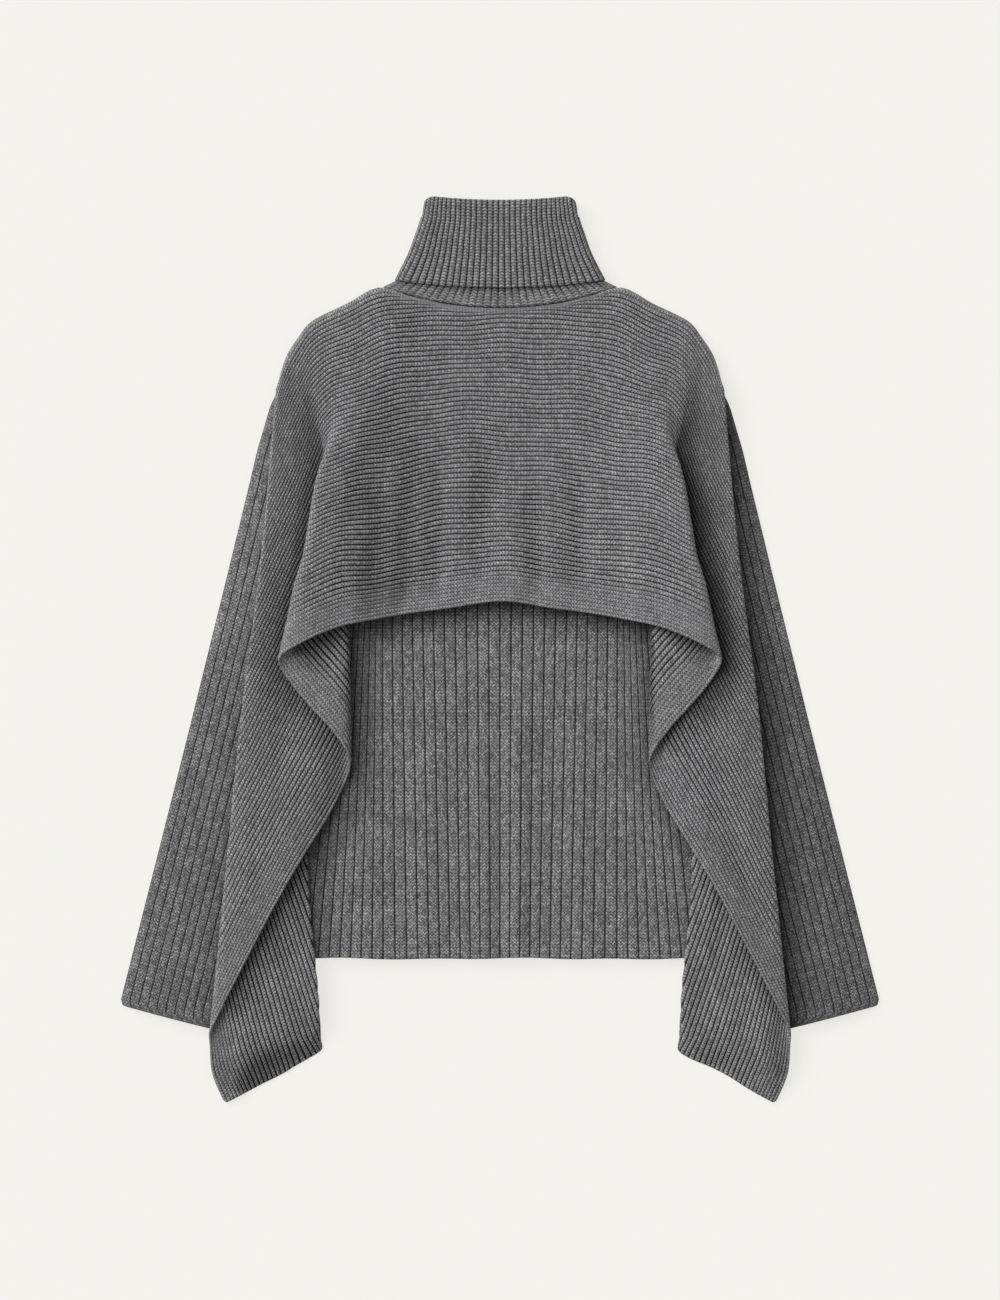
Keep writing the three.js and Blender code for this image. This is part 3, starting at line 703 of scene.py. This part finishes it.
def cape_half(shares):
    stations = cape_stations(shares)
    share = shares[:, -1]
    flat = stations[..., :2]
    mirrored = flat[:, 1:2] * [-1, 1]
    path = np.concatenate([mirrored, flat], axis=1)
    heights = stations[..., 2]
    climbs = np.diff(heights, axis=1)
    a, b = climbs[:, :-1], climbs[:, 1:]
    slope = np.zeros_like(heights)
    same = a * b > 0
    slope[:, 1:-1] = np.where(same, 3 * a * b / np.where(same, a + b, 1), 0)
    parts = []
    marks = []
    for k in range(stations.shape[1] - 1):
        last = k == stations.shape[1] - 2
        t = np.array(LAST_STEPS) if last else np.arange(CAPE_STEPS[k]) / CAPE_STEPS[k]
        s = t[None]
        if last:
            to_hem = np.clip(TIP_ROUND - (1 - share) * WIDTH, 0, TIP_ROUND)
            cut = TIP_ROUND - np.sqrt(TIP_ROUND**2 - to_hem**2)
            s = s * (1 - cut / np.linalg.norm(flat[:, -1] - flat[:, -2], axis=-1))[:, None]
        xy = smooth_path(path, k + 1, s)
        z = (
            heights[:, k, None]
            + climbs[:, k, None] * s * s * (3 - 2 * s)
            + slope[:, k, None] * s * (1 - s) ** 2
            - slope[:, k + 1, None] * s * s * (1 - s)
        )
        z = z + bed(xy[..., 0], xy[..., 1])
        parts.append(np.concatenate([xy, z[..., None]], axis=-1))
        marks.extend(k + t)
    return np.concatenate(parts, axis=1), np.array(marks)


# Soft ridges of the cape, and waves that its ribs follow: wavelengths across and down, size and phase.
CAPE_RIDGES = [
    {"from": (-98, 205), "to": (-104, 30), "half": 9, "height": 2.6},
    {"from": (-74, 180), "to": (-79, 30), "half": 9, "height": 2.1},
    {"from": (-40, 215), "to": (-44, 30), "half": 13, "height": 2.6},
    {"from": (8, 190), "to": (10, 30), "half": 12, "height": 3},
    {"from": (52, 210), "to": (48, 30), "half": 13, "height": 2.8},
    {"from": (86, 170), "to": (92, 25), "half": 11, "height": 1.9},
    {"from": (-128, 160), "to": (-140, 20), "half": 11, "height": 2.4},
    {"from": (122, 190), "to": (134, 20), "half": 11, "height": 2.7},
    {"from": (-218, 60), "to": (-236, -230), "half": 12, "height": 2.7},
    {"from": (216, 80), "to": (232, -200), "half": 12, "height": 2.4},
    {"from": (-188, -90), "to": (-206, -250), "half": 10, "height": 1.8},
    {"from": (186, -70), "to": (202, -240), "half": 10, "height": 2.1},
    {"from": (-232, -330), "to": (-246, -420), "half": 10, "height": 2.4},
    {"from": (234, -330), "to": (246, -420), "half": 10, "height": 2.1},
]
CAPE_WAVES = [
    {"across": 173, "down": 410, "size": 1.5, "phase": 0.7},
    {"across": 91, "down": -260, "size": 0.9, "phase": 2.1},
    {"across": 53, "down": 180, "size": 0.45, "phase": 4.0},
]
# Where light is lost, the grooves are cut deeper and also painted darker.
TROUGH_DEPTH_AND_SHADE = 1.4  # how much deeper the ribs get, for the share of light lost there
LEG_FROM = 9.5  # the station from which the cloth is the leg beside it
TROUGH = {"top": 270, "foot": -120, "step": 4, "eases": 90, "width": 24, "left": 0.36, "right": 0.54}
# The ribs that the neck seam cuts across: at each distance x from the middle, the share of them that
# is cut. There they are gathered within a small share of the width; elsewhere they fan out.
SEAM_CUTS = {"x": (0, 48, 86, 111), "cut": (1, 0.81, 0.34, 0), "ribs": 6, "gathers": 0.006, "fans": 0.35}
GATHERED = (1.2, 2.8)  # rib spacing at which a rib is lost in the seam, and at which it shows in full
SEWN_SHARE = 0.12  # share of the width over which the waves come in from the sewn edge
CALM_HEM = {"from": 0.8, "over": 0.15, "loss": 0.8}  # how the waves fade towards the hem
SEWN_FLAT = 5.0  # distance in which the ribs reach their full depth from the sewn edge
# Where the cloth turns over the first and the third fold, its ribs are stretched flatter.
STRETCHED = {"first": 6, "third": 14, "half": 0.9, "loss": 0.6, "from": 0.25, "over": 0.2}
DEEPEST = 1.05  # the most that a rib's depth is, of its plain depth
# The border along the hem, in which the ribs are closer and flatter.
BORDER = {"width": 34.0, "eases": 16.0, "pitch": 3.4, "strength": 0.55, "beyond": 0.85}


def waves(x, y):
    return sum(
        w["size"] * np.sin(2 * np.pi * (x / w["across"] + y / w["down"]) + w["phase"]) for w in CAPE_WAVES
    )


def near(marks, station, half):
    return np.exp(-(((np.abs(marks) - station) / half) ** 2))


def in_border(share):
    return smooth((share * WIDTH - WIDTH + BORDER["width"]) / BORDER["eases"])


def cape_rows():
    """The ribs from the first one to each row of points, and the share of the width at each row and
    each line of CAPE. Near the middle the neck seam cuts across the first ribs."""
    share = np.linspace(0, 1, SHARE_STEPS + 1)
    per_share = WIDTH / mix(CAPE_RIB["pitch"], BORDER["pitch"], in_border(share))
    count = np.concatenate([[0], np.cumsum((per_share[1:] + per_share[:-1]) / 2 * np.diff(share))])
    whole = round(count[-1] + SEAM_CUTS["ribs"])
    rows = np.arange(whole * RIB_STEPS + 1) / RIB_STEPS
    fanned = np.sin(np.minimum(share / SEAM_CUTS["fans"], 1) * np.pi / 2)
    gathered = 1 - np.exp(-share / SEAM_CUTS["gathers"])
    lines = []
    for f in CAPE:
        cut = np.interp(f["x"][0], SEAM_CUTS["x"], SEAM_CUTS["cut"])
        total = count + SEAM_CUTS["ribs"] * mix(fanned, gathered, cut)
        lines.append(np.interp(rows, total * whole / total[-1], share))
    return rows, np.stack(lines, axis=-1)


def cape_grid():
    """The middle of the cloth, with the share, ribs and station of its rows and columns."""
    count, shares = cape_rows()
    right, marks = cape_half(shares)
    left = right[:, :0:-1] * [-1, 1, 1]
    grid = np.concatenate([left, right], axis=1)[::-1]
    share = shares[::-1, -1]
    marks = np.concatenate([-marks[:0:-1], marks])
    at_hem = smooth((share - CALM_HEM["from"]) / CALM_HEM["over"])
    free = (smooth(share / SEWN_SHARE) * (1 - CALM_HEM["loss"] * at_hem))[:, None]
    x, y = grid[..., 0].copy(), grid[..., 1].copy()
    grid[..., 1] += waves(x, y) * free
    grid[..., 2] += ridges(CAPE_RIDGES, x, y) * smooth(share / SEWN_SHARE)[:, None]
    return grid, share, count[::-1], marks


CAPE_GRID = cape_grid()


def cape(name):
    grid, share, count, marks = CAPE_GRID
    across = arc_length(grid, 1)
    across = across - across[:, [len(marks) // 2]]
    count = np.broadcast_to(count[:, None], across.shape)
    edges = edge_round((1 - share) * WIDTH)[:, None]
    ends = edge_round(np.minimum(across - across[:, :1], across[:, -1:] - across))
    # The ribs are flatter where the cloth turns over a fold, at the seam and in the border.
    opened = smooth((share - STRETCHED["from"]) / STRETCHED["over"])[:, None]
    first, third = (near(marks, STRETCHED[fold], STRETCHED["half"]) for fold in ("first", "third"))
    folded = STRETCHED["loss"] * (first * opened + third)
    least = mix(BORDER["strength"], BORDER["beyond"], smooth(np.abs(marks) - LEG_FROM))
    flatter = mix(1, least, in_border(share)[:, None]) * smooth(share * WIDTH / SEWN_FLAT)[:, None]
    spacing = np.linalg.norm(np.gradient(grid, axis=0), axis=-1) * RIB_STEPS
    shown = smooth((spacing - GATHERED[0]) / (GATHERED[1] - GATHERED[0]))
    # Painted shade from the cloth around, and in the troughs beside the folds.
    shade = shade_at(grid[..., :2], grid[..., 2] + WALL / 2 - bed(grid[..., 0], grid[..., 1]))
    shade = shade * trough(grid, marks)
    # They are deeper in the troughs, and their painted groove shade is darker.
    strength = (1 - folded) * flatter * (1 + TROUGH_DEPTH_AND_SHADE * (1 - shade)) * shown
    groove = close_groove(count, CAPE_RIB["depth"]) * np.minimum(strength, DEEPEST)
    half = (WALL / 2 - groove) * edges * ends
    upper, lower = wall_points(grid, half, half)
    for surface in (upper, lower):
        surface[..., 2] = np.maximum(surface[..., 2], OFF_FLOOR)
    knit = np.stack([across, count], axis=-1)
    return wall_object(name, upper, lower, knit, tone_of(grid, shade, strength))


def trough(grid, marks):
    """The share of the light that reaches the leg in the trough beside the first two folds, as painted shade.
    """
    over = np.abs(marks) < LEG_FROM
    x, y = np.abs(grid[..., 0]), grid[..., 1]
    levels = np.arange(TROUGH["foot"], TROUGH["top"], TROUGH["step"])
    outline = np.zeros(len(levels))
    rows = np.rint((y[:, over] - TROUGH["foot"]) / TROUGH["step"]).astype(int)
    seen = (rows >= 0) & (rows < len(levels))
    np.maximum.at(outline, rows[seen], x[:, over][seen])
    beyond = np.maximum(x - np.interp(y, levels, outline), 0)
    along = smooth((TROUGH["top"] - y) / TROUGH["eases"]) * smooth((y - TROUGH["foot"]) / TROUGH["eases"])
    lost = np.where(grid[..., 0] > 0, TROUGH["right"], TROUGH["left"]) * along
    lost = lost * np.exp(-((beyond / TROUGH["width"]) ** 2))
    return 1 - lost * (np.abs(marks) > LEG_FROM)


# ---- Painted shade: cloth gets less light where it lies lower than the cloth around it ----
CELL = 2.0  # size of a cell of the height map
MAP_HALF = (400.0, 450.0)
MAP_FILL = 6  # places between two columns of the cape at which its height is entered
BLUR_ENDS = 3  # how many reaches away a cell still counts
SHADE_REACHES = (5.0, 12.0)  # over which the heights around a place are averaged
TO_LIGHT = np.array([-15.0, 10.0])  # how far towards the light the heights are looked at
SHADE_DEPTH = 0.52  # the most light that is lost
SHADE_DROP = 2.2  # how much lower the cloth lies where most of that is lost
# Painted shade: the colour is a little darker towards the hem.
DIMMER = {"loss": 0.05, "from": 150.0, "run": 250.0}  # the light is a little dimmer towards the hem


def blurred(cells, reach):
    far = int(BLUR_ENDS * reach / CELL)
    offsets = np.arange(-far, far + 1)
    weights = np.exp(-((offsets * CELL / reach) ** 2) / 2)
    weights /= weights.sum()
    for axis in (0, 1):
        cells = sum(w * np.roll(cells, k, axis=axis) for k, w in zip(offsets, weights))
    return cells


def height_map():
    """How high the top of the cape is around each cell, over what it lies on."""
    xs = np.arange(-MAP_HALF[0], MAP_HALF[0] + CELL, CELL)
    ys = np.arange(-MAP_HALF[1], MAP_HALF[1] + CELL, CELL)
    cells = np.zeros((len(xs), len(ys)))
    grid = CAPE_GRID[0]
    for t in np.linspace(0, 1, MAP_FILL, endpoint=False):
        p = mix(grid[:, :-1], grid[:, 1:], t)
        i = np.rint((p[..., 0] + MAP_HALF[0]) / CELL).astype(int)
        j = np.rint((p[..., 1] + MAP_HALF[1]) / CELL).astype(int)
        np.maximum.at(cells, (i, j), p[..., 2] + WALL / 2 - bed(p[..., 0], p[..., 1]))
    return sum(blurred(cells, reach) for reach in SHADE_REACHES) / len(SHADE_REACHES)


HEIGHTS = height_map()


def height_around(xy):
    cell = np.clip((xy + MAP_HALF) / CELL, 0, np.array(HEIGHTS.shape) - 1.001)
    i, j = np.moveaxis(cell.astype(int), -1, 0)
    s, t = np.moveaxis(cell % 1, -1, 0)
    return mix(mix(HEIGHTS[i, j], HEIGHTS[i + 1, j], s), mix(HEIGHTS[i, j + 1], HEIGHTS[i + 1, j + 1], s), t)


def shade_at(xy, height, sides=(0.0, 1.0)):
    """The share of the light that reaches cloth with its top at a height over what the cape lies on, as
    painted shade.
    sides are how far towards the light it is shaded from, as shares of the whole distance."""
    around = sum(height_around(xy + TO_LIGHT * side) for side in sides) / len(sides)
    lower = np.maximum(around - height, 0)
    from_above = 1 - DIMMER["loss"] * smooth((DIMMER["from"] - xy[..., 1]) / DIMMER["run"])
    return from_above * (1 - SHADE_DEPTH * (1 - np.exp(-lower / SHADE_DROP)))


# ---- Materials ----
class Tree:
    """A short way to write a material's nodes."""

    def __init__(self, name):
        self.material = bpy.data.materials.new(name)
        self.material.use_nodes = True
        self.nodes = self.material.node_tree.nodes
        self.links = self.material.node_tree.links
        self.shader = self.nodes["Principled BSDF"]

    def put(self, socket, value):
        if isinstance(value, bpy.types.NodeSocket):
            self.links.new(value, socket)
        else:
            socket.default_value = value

    def add(self, kind, inputs=None, **settings):
        node = self.nodes.new("ShaderNode" + kind)
        for key, value in settings.items():
            setattr(node, key, value)
        for key, value in (inputs or {}).items():
            self.put(node.inputs[key], value)
        return node

    def math(self, operation, a, b=0.0, c=0.0):
        return self.add("Math", {0: a, 1: b, 2: c}, operation=operation).outputs[0]

    def ramp(self, value, low, high, to_low, to_high):
        """value from low to high, eased, as to_low to to_high."""
        names = {"Value": value, "From Min": low, "From Max": high, "To Min": to_low, "To Max": to_high}
        return self.add("MapRange", names, interpolation_type="SMOOTHSTEP").outputs[0]

    def noise(self, place, scale, detail, roughness, shade):
        """A factor around 1 that varies by up to shade."""
        inputs = {"Vector": place, "Scale": scale, "Detail": detail, "Roughness": roughness}
        return self.ramp(self.add("TexNoise", inputs).outputs[0], 0.3, 0.7, 1 - shade, 1 + shade)


# Each knit: its colour, the pitch of its ribs, the columns of stitches in a rib, the length of a
# stitch, how wide a groove is and how dark its painted shade is, and how much stitches and specks differ in
# shade.
KNITS = {
    "wide_rib_knit": {
        "colour": (0.185, 0.182, 0.186), "pitch": BODY_RIB["pitch"], "wales": 3, "stitch": 3.0,
        "groove_width": 0.1, "groove_shade": 0.2, "contrast": 0.3, "specks": 0.36,
    },
    "sleeve_rib_knit": {
        "colour": (0.18, 0.178, 0.183), "pitch": SLEEVE_RIB["pitch"], "wales": 3, "stitch": 3.0,
        "groove_width": 0.11, "groove_shade": 0.2, "contrast": 0.3, "specks": 0.36,
    },
    "cape_rib_knit": {
        "colour": (0.227, 0.226, 0.232), "pitch": CAPE_RIB["pitch"], "wales": 1, "stitch": 2.8,
        "groove_width": 0.21, "groove_shade": 0.15, "contrast": 0.2, "specks": 0.22,
    },
    "collar_rib_knit": {
        "colour": (0.2, 0.199, 0.204), "pitch": 5.2, "wales": 1, "stitch": 2.8,
        "groove_width": 0.18, "groove_shade": 0.12, "contrast": 0.2, "specks": 0.2,
    },
}
GRAIN = 1.3  # size of the specks of the melange yarn
V_SLANT = 1.3  # how far a leg of a V runs along the rib, in stitches to a column
FLECKS = {"scale": 1.3, "detail": 1.0, "roughness": 0.7, "shade": 0.4}  # streaks of the yarn
CLOUDS = {"scale": 0.03, "detail": 2.0, "roughness": 0.5, "shade": 0.08}  # slow changes over the cloth


def knit_material(name, colour, pitch, wales, stitch, groove_width, groove_shade, contrast, specks):
    """Rib knit of melange yarn. Grooves stand at whole ribs, with wales columns of V stitches between."""
    tree = Tree(name)
    uv = tree.add("UVMap", uv_map="knit").outputs[0]
    split = tree.add("SeparateXYZ", {0: uv})
    along, ribs = split.outputs[0], split.outputs[1]
    shade = tree.add("Attribute", attribute_name="shade", attribute_type="GEOMETRY")
    tone = tree.add("SeparateColor", {0: shade.outputs["Color"]})

    # Painted shade in the grooves, by the distance from the nearest one, in ribs.
    off_groove = tree.math("PINGPONG", ribs, 0.5)
    dark = tree.ramp(off_groove, groove_width * 0.4, groove_width, 1 - groove_shade, 0.0)
    groove = tree.math("SUBTRACT", 1.0, tree.math("MULTIPLY", dark, tone.outputs[1]))

    # V stitches: each wale is a column of chevrons.
    wale = tree.math("MULTIPLY", ribs, float(wales))
    off_centre = tree.math("PINGPONG", tree.math("ADD", wale, 0.5), 0.5)
    chevron = tree.math("MULTIPLY_ADD", off_centre, V_SLANT, tree.math("DIVIDE", along, stitch))
    line = tree.math("PINGPONG", chevron, 0.5)
    stitches = tree.ramp(line, 0.0, 0.4, 0.4, 1.3)
    # In a wide rib the columns stand a little apart.
    if wales > 1:
        apart = tree.ramp(tree.math("PINGPONG", wale, 0.5), 0.0, 0.2, 0.8, 1.05)
        stitches = tree.math("MULTIPLY", stitches, apart)

    # Each leg of each stitch has a shade of its own, and the yarn is flecked.
    leg = tree.add("CombineXYZ", {
        0: tree.math("FLOOR", chevron),
        1: tree.math("FLOOR", tree.math("MULTIPLY", wale, 2.0)),
    }).outputs[0]
    random = tree.add("TexWhiteNoise", {"Vector": leg}, noise_dimensions="2D").outputs["Value"]
    random = tree.ramp(random, 0.0, 1.0, 1 - contrast, 1 + contrast)
    place = tree.add("CombineXYZ", {0: along, 1: tree.math("MULTIPLY", ribs, pitch)}).outputs[0]
    speck = tree.add("VectorMath", {0: place, 1: (1 / GRAIN, 1 / GRAIN, 1)}, operation="MULTIPLY").outputs[0]
    speck = tree.add("VectorMath", {0: speck}, operation="FLOOR").outputs[0]
    grain = tree.add("TexWhiteNoise", {"Vector": speck}, noise_dimensions="2D").outputs["Value"]
    grain = tree.ramp(grain, 0.0, 1.0, 1 - specks, 1 + specks)
    fleck, cloud = (tree.noise(place, **kind) for kind in (FLECKS, CLOUDS))

    # The painted shade from the shade attribute, and the painted groove shade, darken the colour.
    value = tone.outputs[0]
    for factor in (groove, stitches, random, grain, fleck, cloud):
        value = tree.math("MULTIPLY", value, factor)
    mixed = tree.add("VectorMath", {0: colour, "Scale": value}, operation="SCALE")
    tree.put(tree.shader.inputs["Base Color"], mixed.outputs[0])
    tree.shader.inputs["Roughness"].default_value = 0.95
    tree.shader.inputs["Specular IOR Level"].default_value = 0.15
    tree.shader.inputs["Sheen Weight"].default_value = 0.08
    tree.shader.inputs["Sheen Roughness"].default_value = 0.6
    height = tree.math("MULTIPLY", stitches, fleck)
    bump = tree.add("Bump", {"Strength": 0.5, "Distance": 0.5 * MM, "Height": height})
    tree.put(tree.shader.inputs["Normal"], bump.outputs[0])
    return tree.material


def light_table(name):
    tree = Tree(name)
    tree.shader.inputs["Base Color"].default_value = (*FLOOR_COLOUR, 1)
    tree.shader.inputs["Roughness"].default_value = 1.0
    tree.shader.inputs["Specular IOR Level"].default_value = 0.0
    tree.shader.inputs["Emission Color"].default_value = (*FLOOR_GLOW, 1)
    tree.shader.inputs["Emission Strength"].default_value = 1.0
    return tree.material


# ---- The garment ----
knits = {name: knit_material(name, **settings) for name, settings in KNITS.items()}


def declare(piece, node, material):
    piece.data.materials.append(material)
    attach(piece, "root")
    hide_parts(node)


PANEL = {"knit": "wide_rib_knit", "slot": "wide_rib_knit", "flat": (0.38, 0.62)}
SLEEVES = {
    "knit": "sleeve_rib_knit", "slot": "wide_rib_knit", "flat": (0.29, 0.64), "area": 0.115,
    "rests_on": (),
}
PIECES = [
    {
        "node": "body_back", "made": body_panel("back_panel", -1, NECK_BACK), **PANEL, "area": 0.207,
        "rests_on": (),
    },
    {
        "node": "body_front", "made": body_panel("front_panel", 1, NECK_FRONT), **PANEL, "area": 0.206,
        "rests_on": ["body_back"],
    },
    {"node": "sleeve_right", "made": sleeve("right_sleeve", 1), **SLEEVES},
    {"node": "sleeve_left", "made": sleeve("left_sleeve", -1), **SLEEVES},
    {
        "node": "collar", "made": collar("roll_collar"), "knit": "collar_rib_knit",
        "slot": "collar_rib_knit", "flat": (0.37, 0.19), "area": 0.06, "rests_on": (),
    },
    {
        "node": "cape", "made": cape("cape_panel"), "knit": "cape_rib_knit", "slot": "cape_rib_knit",
        "flat": (1.45, 0.27), "area": 0.34, "rests_on": ["body_front", "sleeve_right", "sleeve_left"],
    },
]
for p in PIECES:
    declare(p["made"], p["node"], knits[p["knit"]])

# ---- Floor, light and camera ----
bpy.context.scene.view_settings.view_transform = "Standard"
VIEW_HEIGHT = 1.196  # metres of floor that the picture's height takes in
LENS = 120.0
SENSOR = 36.0
FLOOR_SIZE = 40.0
FLOOR_COLOUR = (0.15, 0.1485, 0.1435)
FLOOR_GLOW = (0.7405, 0.7345, 0.707)  # the light of the table itself, which softens the shadows on it
SKY = 0.42
KEY_ENERGY = 3.2
KEY_ANGLE = 45  # degrees that the key light spans, which softens its shadows
KEY_TOWARDS = (0.62, -0.48, -0.62)

bpy.ops.mesh.primitive_plane_add(size=FLOOR_SIZE, location=(0, 0, 0))
floor = bpy.context.object
floor.name = "floor"
floor.data.materials.append(light_table("floor"))

world = bpy.data.worlds.new("studio")
world.use_nodes = True
world.node_tree.nodes["Background"].inputs[0].default_value = (1, 1, 1, 1)
world.node_tree.nodes["Background"].inputs[1].default_value = SKY
bpy.context.scene.world = world

key = bpy.data.objects.new("key", bpy.data.lights.new("key", "SUN"))
key.data.energy = KEY_ENERGY
key.data.angle = math.radians(KEY_ANGLE)
key.rotation_euler = Vector(KEY_TOWARDS).to_track_quat("-Z", "Y").to_euler()
bpy.context.collection.objects.link(key)

camera = bpy.data.objects.new("camera", bpy.data.cameras.new("camera"))
camera.data.lens = LENS
camera.data.sensor_width = SENSOR
camera.location = (0, 0, VIEW_HEIGHT * LENS / SENSOR + TUBE * MM)
bpy.context.collection.objects.link(camera)
bpy.context.scene.camera = camera
